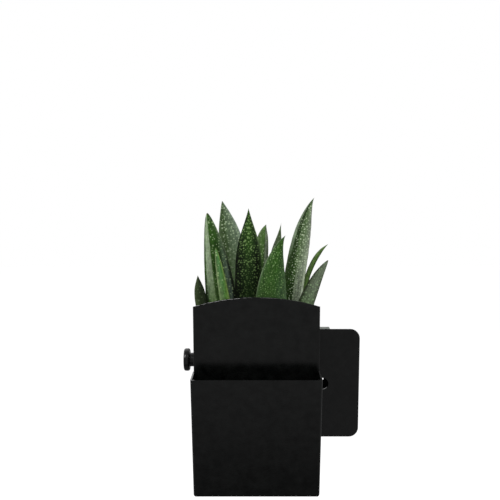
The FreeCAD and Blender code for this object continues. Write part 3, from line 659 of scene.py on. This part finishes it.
def make_leaf(name, leaf, seed):
    """One leaf: a grid with rows at even distances along the spine, its dots, and its colours."""
    even = np.linspace(0, 1, 400)
    steps = np.linalg.norm(np.diff(leaf_spine(even, leaf)[0], axis=0), axis=1)
    reached = np.concatenate([[0], np.cumsum(steps)])
    length = reached[-1]
    rows, columns = int(length / row_spacing), 2 * int(1.1 * leaf["width"] / row_spacing)
    shares = np.interp(np.linspace(0, rows_end * length, rows), reached, even)
    t, a = np.meshgrid(shares, -2 * np.pi * np.arange(columns) / columns, indexing="ij")
    far = np.interp(t, even, reached)
    points, x, half = leaf_surface(t, a, leaf)
    behind = np.sin(a) < -1e-9
    across = x * half + back_shift * behind
    raised = dots(across, far, seed, kept=leaf["kept"],
                  pitch=leaf.get("pitch", dot_pitch), size=leaf.get("dot_size", dot_radii))
    raised *= (np.clip((bare_margin - np.abs(x)) * 8, 0, 1) * np.clip(far / root_bare, 0, 1)
               * np.clip((length - far) / tip_bare, 0, 1))
    raised *= np.where(behind, 1.0, np.interp(x, *leaf.get("dotted", ((-1, 1), (1, 1)))))
    skin = lumps(points.reshape(-1, 3), skin_lump, seed + 5).reshape(t.shape) * skin_height
    points = points + surface_normals(points) * (raised * leaf["raised"]
                                                 + skin * np.sin(np.pi * t))[..., None]
    colour, dot_colour = leaf_tints(leaf, far / length, length - far, x, behind)
    poles = np.stack([points[0].mean(axis=0), leaf_spine(1.0, leaf)[0]])
    quads, triangles = tube_faces(rows, columns)
    flat = np.concatenate([points.reshape(-1, 3), poles])
    tint = np.ones((len(flat), 4))
    tint[:-2, :3] = colour.reshape(-1, 3)
    tint[-2:, :3] = colour[0, 0], colour[-1, 0]
    dot_tint = np.ones((len(flat), 4))
    dot_tint[:-2, :3] = dot_colour.reshape(-1, 3)
    ends = np.zeros(2)
    return make_mesh(name, flat, quads, triangles, {
        "tint": tint, "dot_tint": dot_tint, "dot": np.concatenate([raised.ravel(), ends]),
        "along": np.concatenate([far.ravel(), [0.0, length]]),
        "across": np.concatenate([across.ravel(), ends])})


# %% [markdown]
# A leaf's skin is waxy and a little streaked along its length. The material takes its colours from
# the attributes, streaks them with a noise that is stretched along the leaf, lays the dot colour
# over the raised dots, and breaks up the gloss, which is weaker on the dots.

# %% Leaf skin
streaks_across, streaks_along = 1.6, 0.11  # per mm
dot_edge, dot_middle = 0.10, 0.55  # a dot's value where its colour begins, and where it is all there
dots_duller = 0.18  # added to the roughness


def leaf_finish():
    """The waxy skin of a leaf, coloured by the attributes of the mesh."""
    material, tree, shader = new_material("waxy dotted leaf")
    tint = add(tree, "ShaderNodeAttribute", attribute_name="tint").outputs["Color"]
    dot = add(tree, "ShaderNodeAttribute", attribute_name="dot").outputs["Fac"]
    dot_tint = add(tree, "ShaderNodeAttribute", attribute_name="dot_tint").outputs["Color"]
    along = add(tree, "ShaderNodeAttribute", attribute_name="along").outputs["Fac"]
    across = add(tree, "ShaderNodeAttribute", attribute_name="across").outputs["Fac"]
    streak_place = add(tree, "ShaderNodeCombineXYZ",
                       {"X": math_node(tree, "MULTIPLY", across, streaks_across),
                        "Y": math_node(tree, "MULTIPLY", along, streaks_along)}).outputs[0]
    streak = add(tree, "ShaderNodeTexNoise",
                 {"Vector": streak_place, "Scale": 1.0, "Detail": 3.0}).outputs[0]
    patch = use(tree, mottle, Scale=380.0, Detail=4.0, Low=0.62, High=1.30)["Value"]
    shade = math_node(tree, "MULTIPLY", patch, remap(tree, streak, noise_low, noise_high, 0.66, 1.30))
    grey = add(tree, "ShaderNodeCombineColor", {0: shade, 1: shade, 2: shade}).outputs[0]
    skin = mix_colour(tree, 1.0, tint, grey, blend="MULTIPLY")
    colour = mix_colour(tree, remap(tree, dot, dot_edge, dot_middle), skin, dot_tint)
    gloss = use(tree, mottle, Scale=260.0, Detail=3.0, Low=0.46, High=0.62)["Value"]
    rough = math_node(tree, "ADD", gloss, math_node(tree, "MULTIPLY", dot, dots_duller), clamp=True)
    height = use(tree, relief, Coarse_Scale=900.0, Fine_Scale=3600.0, Fine_Share=0.5)["Height"]
    wire_surface(tree, shader, colour, rough, height, relief_mm=0.03)
    shader.inputs["Specular IOR Level"].default_value = 0.14
    return material


leaf_skin = leaf_finish()
for number, (name, facts) in enumerate(leaves.items()):
    piece = make_leaf(name + "_skin", facts, seed=11 * number + 3)
    piece.data.materials.append(leaf_skin)
    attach(piece, "pot")
    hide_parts(name)
    print(name, "faces", len(piece.data.polygons))

# %% [markdown]
# ## Crowns, soil and grit
# Round the foot of the leaves, where the front panel hides it from the room but not from above, the
# plant has two crowns of short young leaves and old sheaths. The same leaf formula makes them: small
# leaves set in a spiral at the golden angle, the inner ones upright and the outer ones leaning out.
# Each crown is one mesh with a low mound under its leaves.

# %% Crowns
golden_angle = 2.39996  # radians
young_leaves = 20  # on each crown
pot_margin = 4.0  # mm that the crowns' leaves stay inside the pot's rim


def join_parts(parts):
    """Joins (points, quads, triangles, attributes) parts into one, and shifts their face numbers."""
    shift = np.cumsum([0] + [len(part[0]) for part in parts])
    return (np.concatenate([part[0] for part in parts]),
            np.concatenate([part[1] + s for part, s in zip(parts, shift)]),
            np.concatenate([part[2] + s for part, s in zip(parts, shift)]),
            {label: np.concatenate([part[3][label] for part in parts]) for label in parts[0][3]})


def plain_attributes(count, tint):
    """Attributes for a part without dots, of one tint or of a tint for each point."""
    tint = np.broadcast_to(tint, (count, 3))
    colours = np.concatenate([tint, np.ones((count, 1))], axis=1)
    return {"tint": colours, "dot": np.zeros(count), "dot_tint": colours,
            "along": np.linspace(0, 20, count), "across": np.linspace(-4, 4, count)}


def mound(centre, radius, low_z, rise, seed):
    """A closed low dome: rings that shrink as the square root of what is left, with a flat foot."""
    rings, sides = 16, 72
    up, around = np.meshgrid(np.linspace(0.02, 1, rings),
                             np.linspace(0, 2 * np.pi, sides, endpoint=False), indexing="ij")
    reach = radius * np.sqrt(1 - (up * 0.985) ** 2)
    points = np.stack([centre[0] + reach * np.cos(around), centre[1] + reach * np.sin(around),
                       low_z + rise * up], axis=-1)
    flat = points.reshape(-1, 3)
    flat = flat + lumps(flat, 3.2, seed)[:, None] * np.array([0.35, 0.35, 0.3])
    poles = np.array([[centre[0], centre[1], low_z], [centre[0], centre[1], low_z + rise]])
    quads, triangles = tube_faces(rings, sides)
    points = np.concatenate([flat, poles])
    return points, quads, triangles, plain_attributes(len(points), linear(70, 62, 40))


def young_leaf(place, lean, heading, height, width, seed):
    """A small leaf from a crown: same surface as the big ones, with coarser rows."""
    out_way = np.array([np.cos(heading), np.sin(heading)])
    middle = place + out_way * lean * 0.35
    tip = place + out_way * lean
    facts = dict(root=tuple(place), middle=(*middle, height * 0.55), tip=(*tip, height), width=width,
                 widening=0.6, hollow=0.7, facing=math.degrees(heading) - 90.0)
    rows, columns = 22, 20
    t, a = np.meshgrid(np.linspace(0, 0.99, rows),
                       np.linspace(0, -2 * np.pi, columns, endpoint=False), indexing="ij")
    points, x, half = leaf_surface(t, a, facts)
    shade = 0.7 + 0.5 * hashed(np.float64(seed), 3.0, 8)
    # Painted shade: the young leaves darken towards the root, as the big ones do.
    tint = linear(74, 98, 52) * shade * (0.55 + 0.6 * t[..., None])
    colours = np.concatenate([tint.reshape(-1, 3), tint[0, :1], tint[-1, :1]])
    poles = np.stack([points[0].mean(axis=0), points[-1].mean(axis=0)])
    flat = np.concatenate([points.reshape(-1, 3), poles])
    spots = dots(x * half, t * height, seed, kept=0.6).ravel()
    quads, triangles = tube_faces(rows, columns)
    attributes = plain_attributes(len(flat), colours)
    attributes["dot"] = np.concatenate([spots, [0.0, 0.0]]) * 0.7
    attributes["dot_tint"] = np.tile([*linear(120, 140, 96), 1.0], (len(flat), 1))
    return flat, quads, triangles, attributes


for name, seed in (("plant_crown_left", 21), ("plant_crown_right", 37)):
    low, high = box_mm(name)
    centre, radius = (low + high)[:2] / 2, (high - low)[0] / 2
    parts = [mound(centre, radius - 0.4, low[2] + 0.1, 4.2, seed)]
    for k in range(young_leaves):
        heading = k * golden_angle + seed
        reach = radius * 0.86 * math.sqrt((k + 0.5) / young_leaves)
        place = centre + reach * np.array([math.cos(heading), math.sin(heading)]) - pot_middle[:2]
        parts.append(young_leaf(place, 1.0 + 0.32 * reach, heading, 21.0 - 0.75 * reach,
                                6.0 + 0.16 * reach, seed + k))
    points, quads, triangles, attributes = join_parts(parts)
    points[:, :2] = np.clip(points[:, :2], pot_low[:2] + pot_margin, pot_high[:2] - pot_margin)
    crown = make_mesh(name + "_leaves", points, quads, triangles, attributes)
    crown.data.materials.append(leaf_skin)
    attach(crown, "pot")
    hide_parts(name)
    print(name, "faces", len(crown.data.polygons))

# %% [markdown]
# The soil is a root ball in the pot's shape: rings of a rounded rectangle, carried up the taper and
# then in over the top, with lumps on it. A subdivided and displaced cube would look the same, but
# the rings need no modifier and close at two poles. Soil and grit share a finish of grains in several
# colours, which an attribute picks.

# %% Soil
def rounded_ring(half_x, half_y, corner, count=96):
    """A rounded rectangle as a superellipse of growing power: points at even angles round it."""
    angle = np.linspace(0, 2 * np.pi, count, endpoint=False)
    power = 2 / (2 + 0.9 * min(half_x, half_y) / corner)
    c, s = np.cos(angle), np.sin(angle)
    return np.stack([half_x * np.sign(c) * np.abs(c) ** power,
                     half_y * np.sign(s) * np.abs(s) ** power], axis=1)


def filled_body(node, foot_share, corner, lump_mm, seed):
    """A closed body that fills a node's box: a ring carried up a taper and in over the top."""
    foot_rings, side_rings, top_rings, clearance = 6, 30, 24, 0.3
    low, high = box_mm(node)
    half, centre = (high - low) / 2, (high + low) / 2
    ring = rounded_ring(half[0] - clearance, half[1] - clearance, corner)
    foot = np.array(foot_share)
    up = np.concatenate([np.zeros(foot_rings), np.linspace(0, 1, side_rings), np.ones(top_rings)])
    reach = np.concatenate([np.linspace(0.06, 0.96, foot_rings), np.ones(side_rings),
                            np.linspace(0.985, 0.03, top_rings)])
    size = (foot + (1 - foot) * up[:, None]) * reach[:, None]
    flat = (ring[None] * size[:, None, :]).reshape(-1, 2) + centre[:2]
    z = np.repeat(low[2] + (high[2] - low[2] - lump_mm) * up, len(ring))
    points = np.concatenate([flat, z[:, None]], axis=1)
    top = np.repeat(np.clip(up * 8 - 7, 0, 1) * (reach < 0.99), len(ring))
    points[:, 2] += top * lump_mm * (0.6 * lumps(points, 9.0, seed) + 0.4 * lumps(points, 2.6, seed + 1))
    poles = np.array([[*centre[:2], low[2]], [*centre[:2], high[2] - lump_mm]])
    quads, triangles = tube_faces(len(up), len(ring))
    return np.concatenate([points, poles]), quads, triangles


def speckled_finish(name, colours, rough, relief_mm):
    """Grains of several colours: the attribute tone picks a colour, and a mottle shades it."""
    material, tree, shader = new_material(name)
    tone = add(tree, "ShaderNodeAttribute", attribute_name="tone").outputs["Fac"]
    ramp = add(tree, "ShaderNodeValToRGB", {"Fac": tone})
    while len(ramp.color_ramp.elements) < len(colours):
        ramp.color_ramp.elements.new(0.5)
    for k, colour in enumerate(colours):
        ramp.color_ramp.elements[k].position = k / (len(colours) - 1)
        ramp.color_ramp.elements[k].color = (*colour, 1)
    shade = use(tree, mottle, Scale=900.0, Detail=3.0, Low=0.65, High=1.2)["Value"]
    grey = add(tree, "ShaderNodeCombineColor", {0: shade, 1: shade, 2: shade}).outputs[0]
    colour = mix_colour(tree, 1.0, ramp.outputs["Color"], grey, blend="MULTIPLY")
    handled = use(tree, mottle, Scale=500.0, Detail=2.0, Low=rough[0], High=rough[1])["Value"]
    height = use(tree, relief, Coarse_Scale=1400.0, Fine_Scale=5200.0, Fine_Share=0.6)["Height"]
    wire_surface(tree, shader, colour, handled, height, relief_mm)
    return material


soil_finish = speckled_finish("damp potting soil", [(0.018, 0.012, 0.008), (0.045, 0.030, 0.019)],
                              (0.85, 0.95), relief_mm=0.15)
points, quads, triangles = filled_body("potting_soil", (0.86, 0.82), 9.0, 0.5, 51)
tone = 0.5 + 0.5 * lumps(points, 4.0, 52)
soil = make_mesh("root_ball", points, quads, triangles, {"tone": np.clip(tone, 0, 1)})
soil.data.materials.append(soil_finish)
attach(soil, "pot")
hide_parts("potting_soil")
print("root ball faces", len(soil.data.polygons))

# %% [markdown]
# Grit lies on the soil, as growers use for succulents. It could be a rough surface, but single stones
# show from a step away, so it is a thin bed with two layers of small stones on it. A stone is one
# lumpy cube of 24 faces, turned, stretched and placed many times as whole arrays. The places are a
# staggered grid, shaken a little, inside the pot and clear of the crowns.

# %% Grit
def stones(centres, sizes, seed):
    """Stones as copies of one lumpy cube of 24 faces, each turned and stretched by its own matrix."""
    side = np.linspace(-1, 1, 3)
    grid = np.stack(np.meshgrid(side, side, side, indexing="ij"), axis=-1).reshape(-1, 3)
    shell = np.abs(grid).max(axis=1) > 0.5
    number = np.cumsum(shell) - 1
    faces = []
    for axis in range(3):
        for end in (-1, 1):
            u, v = [k for k in range(3) if k != axis]
            for first in (-1, 0):
                for second in (-1, 0):
                    corners = [(first, second), (first + 1, second), (first + 1, second + 1),
                               (first, second + 1)]
                    spot = np.zeros((4, 3))
                    spot[:, u], spot[:, v] = zip(*corners)
                    spot[:, axis] = end
                    index = ((spot + 1) @ np.array([9, 3, 1])).astype(int)
                    order = 1 if end * (-1) ** axis > 0 else -1
                    faces.append(number[index][::order])
    base = grid[shell]
    base = base / np.linalg.norm(base, axis=1)[:, None] ** 0.75
    chance = np.random.default_rng(seed)
    count = len(centres)
    turn = np.linalg.qr(chance.normal(size=(count, 3, 3)))[0]
    turn *= np.sign(np.linalg.det(turn))[:, None, None]
    stretch = chance.uniform(0.72, 1.15, (count, 1, 3)) * sizes[:, None, None]
    rough = 1 + chance.uniform(-0.13, 0.13, (count, len(base), 1))
    points = np.einsum("nij,nkj->nki", turn, base[None] * stretch * rough) + centres[:, None, :]
    faces = np.array(faces)[None] + (np.arange(count) * len(base))[:, None, None]
    tone = np.repeat(chance.random(count), len(base))
    return points.reshape(-1, 3), faces.reshape(-1, 4), tone


grit_finish = speckled_finish(
    "washed grit", [(0.20, 0.17, 0.13), (0.42, 0.36, 0.28), (0.30, 0.28, 0.26), (0.58, 0.52, 0.44)],
    (0.6, 0.85), relief_mm=0.05)
low, high = box_mm("top_grit")
half, centre = (high - low)[:2] / 2, (high + low)[:2] / 2
chance = np.random.default_rng(77)
stone_pitch, row_share = 2.7, 0.87  # mm, and how much closer the rows lie
rim_gap = 2.0  # mm from the bed's edge to the stones' middles
grid_reach = 20  # stones each way, more than the bed holds
across, deep = np.meshgrid(np.arange(-grid_reach, grid_reach), np.arange(-grid_reach, grid_reach),
                           indexing="ij")
spots = np.stack([(across + 0.5 * (deep % 2)) * stone_pitch, deep * stone_pitch * row_share],
                 axis=-1).reshape(-1, 2)
layers = [spots, spots + stone_pitch / 2]
heights = [high[2] - depth for depth in (1.35, 2.3)]  # each layer's depth below the node's top
centres = np.concatenate([
    np.concatenate([layer + chance.normal(0, 0.35, layer.shape), np.full((len(layer), 1), level)], axis=1)
    for layer, level in zip(layers, heights)])
inside_edge = ((np.abs(centres[:, 0]) / (half[0] - rim_gap)) ** 6
               + (np.abs(centres[:, 1]) / (half[1] - rim_gap)) ** 6) < 1
centres[:, :2] += centre
clear = np.ones(len(centres), dtype=bool)
for name in ("plant_crown_left", "plant_crown_right"):
    crown_low, crown_high = box_mm(name)
    middle, radius = (crown_low + crown_high)[:2] / 2, (crown_high - crown_low)[0] / 2
    clear &= np.hypot(*(centres[:, :2] - middle).T) > radius - 1.0
centres = centres[inside_edge & clear]
centres[:, 2] += chance.normal(0, 0.18, len(centres))
stone_points, stone_faces, stone_tone = stones(centres, chance.uniform(0.95, 1.45, len(centres)), 78)
bed_points, bed_quads, bed_triangles = filled_body("top_grit", (0.995, 0.995), 10.0, 1.4, 79)
points = np.concatenate([stone_points, bed_points])
points[:, 2] = np.clip(points[:, 2], low[2] + 0.02, high[2] + 0.6)
grit = make_mesh(
    "grit_stones", points, np.concatenate([stone_faces, bed_quads + len(stone_points)]),
    bed_triangles + len(stone_points),
    {"tone": np.concatenate([stone_tone, np.full(len(bed_points), 0.05)])})
grit.data.materials.append(grit_finish)
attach(grit, "pot")
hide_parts("top_grit")
print("stones:", len(centres), "faces", len(grit.data.polygons))

# %% [markdown]
# ## Studio
# The photograph shows the planter on pure white, from a little above and straight on. A camera can be
# placed by eye, but a fit to the object's straight edges is surer, and it stands where that fit puts
# it. Part of its look down is a shift of the lens, as on a view camera, which keeps the uprights
# closer to upright than a tilt alone would.

# %% Camera
camera_data = bpy.data.cameras.new("photographer")
camera_data.sensor_width = 36.0
camera_data.lens = 58.54
camera_data.shift_x = -0.0180
camera_data.shift_y = 0.12
camera = bpy.data.objects.new("photographer", camera_data)
camera.location = (-0.026536, -0.738073, 0.183896)
camera.rotation_euler = (math.radians(80.77), 0.0, 0.0)
bpy.context.collection.objects.link(camera)
bpy.context.scene.camera = camera
print("camera at", tuple(camera.location))

# %% [markdown]
# A pale floor lies well below, so that the shadow on it falls outside the frame. The camera sees the
# floor and the surroundings as white, and only mirrored rays see the rest, like a photographer's
# cards. A black coat shows little but what it mirrors, and in the photograph it is nearly black, so
# the surroundings are dim in front. They are bright behind, half as bright on the right, and a dark
# flag stands straight behind on the right, where the plate's upper edge would mirror white. The floor
# glows faintly far out and again close in, which shades the pocket's slanted front from top to bottom.

# %% Floor and surroundings
floor_height = -0.55
far_ring, far_glow = (0.56, 0.94), (0.01, 0.24)  # metres across the floor, and the glow there
near_ring, near_glow = (0.54, 0.42), (0.0, 0.12)
floor_seen, floor_pale = 0.6, 0.8  # what the camera gets from the floor on top, and its own paleness
front_light = 0.225  # the mirrored light in front; behind it is 1
right_share, flag_share = 0.5, 0.05  # of that behind on the right, and at the flag
diffuse_light = 0.5  # what a matt surface gets from all round


def mirrored_ray(tree, ray):
    """1 for a ray that a shiny or clear surface sends on, and 0 for any other."""
    return math_node(tree, "MAXIMUM", ray.outputs["Is Glossy Ray"], ray.outputs["Is Transmission Ray"])


floor_material, tree, shader = new_material("pale floor")
tree.nodes.remove(shader)
ray = tree.nodes.new("ShaderNodeLightPath")
place = add(tree, "ShaderNodeTexCoord").outputs["Object"]
place = add(tree, "ShaderNodeVectorMath", {0: place, 1: (0.0, 0.0, -floor_height)}, operation="ADD")
distance = add(tree, "ShaderNodeVectorMath", {0: place.outputs[0]}, operation="LENGTH").outputs["Value"]
glow = math_node(tree, "ADD", remap(tree, distance, *far_ring, *far_glow),
                 remap(tree, distance, *near_ring, *near_glow))
glow = math_node(tree, "MULTIPLY", glow, mirrored_ray(tree, ray))
seen = math_node(tree, "ADD", glow, math_node(tree, "MULTIPLY", ray.outputs["Is Camera Ray"], floor_seen))
lift = add(tree, "ShaderNodeEmission", {"Color": (1, 1, 1, 1), "Strength": seen}).outputs[0]
pale = math_node(tree, "SUBTRACT", 1.0, mirrored_ray(tree, ray))
pale = math_node(tree, "MULTIPLY", pale, floor_pale)
pale = add(tree, "ShaderNodeCombineColor", {0: pale, 1: pale, 2: pale}).outputs[0]
diffuse = add(tree, "ShaderNodeBsdfDiffuse", {"Color": pale}).outputs[0]
look = add(tree, "ShaderNodeAddShader", {0: diffuse, 1: lift}).outputs[0]
tree.links.new(look, tree.nodes["Material Output"].inputs["Surface"])
reach = np.array([[-6.0, -6.0], [6.0, -6.0], [6.0, 6.0], [-6.0, 6.0]]) / MM
floor = make_mesh("studio_floor", np.concatenate([reach, np.full((4, 1), floor_height / MM)], axis=1),
                  np.array([[0, 1, 2, 3]]), np.zeros((0, 3), dtype=int))
floor.data.materials.append(floor_material)
floor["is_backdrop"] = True

world = bpy.data.worlds.new("studio")
world.use_nodes = True
bpy.context.scene.world = world
tree = world.node_tree
ray = tree.nodes.new("ShaderNodeLightPath")
towards = add(tree, "ShaderNodeSeparateXYZ", {0: add(tree, "ShaderNodeTexCoord").outputs["Generated"]})
to_right = remap(tree, towards.outputs["X"], -0.04, 0.07)
behind = math_node(tree, "MULTIPLY", remap(tree, towards.outputs["Y"], 0.10, 0.60),
                   remap(tree, to_right, 0.0, 1.0, 1.0, right_share))
backdrop = remap(tree, behind, 0.0, 1.0, front_light, 1.0)
flag = math_node(tree, "MULTIPLY", remap(tree, towards.outputs["Y"], 0.88, 0.94), to_right)
backdrop = math_node(tree, "MULTIPLY", backdrop, remap(tree, flag, 0.0, 1.0, 1.0, flag_share))
strength = math_node(tree, "MULTIPLY", backdrop, mirrored_ray(tree, ray))
strength = math_node(tree, "ADD", strength, ray.outputs["Is Camera Ray"])
soft = math_node(tree, "MULTIPLY", ray.outputs["Is Diffuse Ray"], diffuse_light)
tree.links.new(math_node(tree, "ADD", strength, soft), tree.nodes["Background"].inputs["Strength"])
tree.nodes["Background"].inputs["Color"].default_value = (1, 1, 1, 1)

# %% [markdown]
# A soft key lamp from the upper left and a weaker one from the right model the leaves. Both are area
# lamps aimed at the plant, because a large soft source gives a waxy leaf a broad sheen, not a spot.

# %% Lamps
def soft_lamp(name, place, aim, size, power):
    """A square area lamp turned towards a point."""
    data = bpy.data.lights.new(name, "AREA")
    data.size = size
    data.energy = power
    lamp = bpy.data.objects.new(name, data)
    away = np.array(place) - np.array(aim)
    flat = math.hypot(away[0], away[1])
    lamp.location = place
    lamp.rotation_euler = (math.atan2(flat, away[2]), 0.0, math.atan2(away[0], -away[1]))
    bpy.context.collection.objects.link(lamp)


plant = (-0.03, -0.06, 0.08)
soft_lamp("key", (-0.9, -1.1, 1.3), plant, size=0.8, power=22.0)
soft_lamp("fill", (1.2, -0.6, 0.7), plant, size=0.7, power=9.0)
bpy.context.scene.view_settings.view_transform = "Standard"

# %% [markdown]
# ## Measure and finish
# The visual model's box is printed in millimetres. The visual model has to stay inside
# the CAD model's box.

# %% Sizes and the last line
low, high = (list(corner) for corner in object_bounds())
print("visual box in mm:", [round(v / MM, 1) for v in low], [round(v / MM, 1) for v in high])
